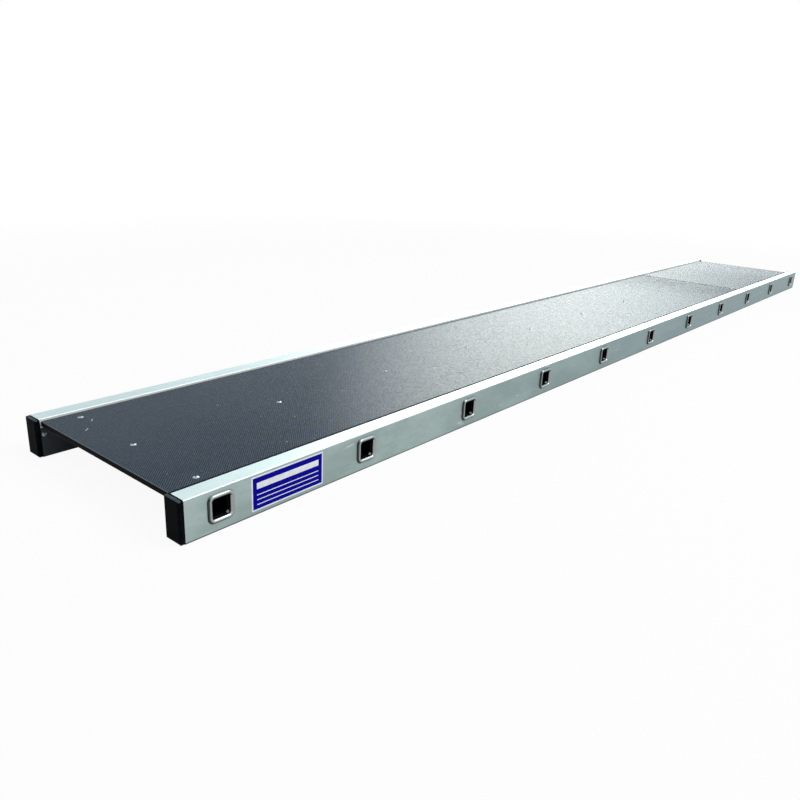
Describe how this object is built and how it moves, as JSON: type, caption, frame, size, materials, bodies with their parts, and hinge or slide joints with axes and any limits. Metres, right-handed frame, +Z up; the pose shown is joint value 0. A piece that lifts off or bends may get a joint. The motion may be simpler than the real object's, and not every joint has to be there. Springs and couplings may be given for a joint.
{
  "type": "scaffold plank",
  "caption": "Long aluminium staging board: box-section stiles joined by open square rungs, with a riveted mesh-faced plywood deck to stand on and black end caps.",
  "frame": {"origin": "under the centre of the board, at the level that the stiles stand on", "axes": "+X along the board towards the short deck panel, -Y the front stile, +Z up"},
  "size_m": [3.136, 0.457, 0.068],
  "materials": {
    "stile": "mill-finish extrusion with fine drawn lines and handling marks",
    "rung": "bright drawn tube, burnished where its ends are rolled out",
    "deck": "dark slate phenolic film with a fine wire-mesh imprint",
    "deck_short": "phenolic film with a fine wire-mesh imprint, worn paler",
    "cap": "black moulded plastic, satin",
    "rivet": "bright blind rivet"
  },
  "bodies": {
    "root": {"stile_front": "stile", "stile_back": "stile", "deck_panel_long": "deck", "deck_panel_short": "deck_short", "deck_rivets": "rivet", "cap_rivets": "rivet", "rung_01": "rung", "rung_02": "rung", "rung_03": "rung", "rung_04": "rung", "rung_05": "rung", "rung_06": "rung", "rung_07": "rung", "rung_08": "rung", "rung_09": "rung", "rung_10": "rung", "rung_11": "rung", "end_cap_front_left": "cap", "end_cap_front_right": "cap", "end_cap_back_left": "cap", "end_cap_back_right": "cap"}
  },
  "joints": []
}
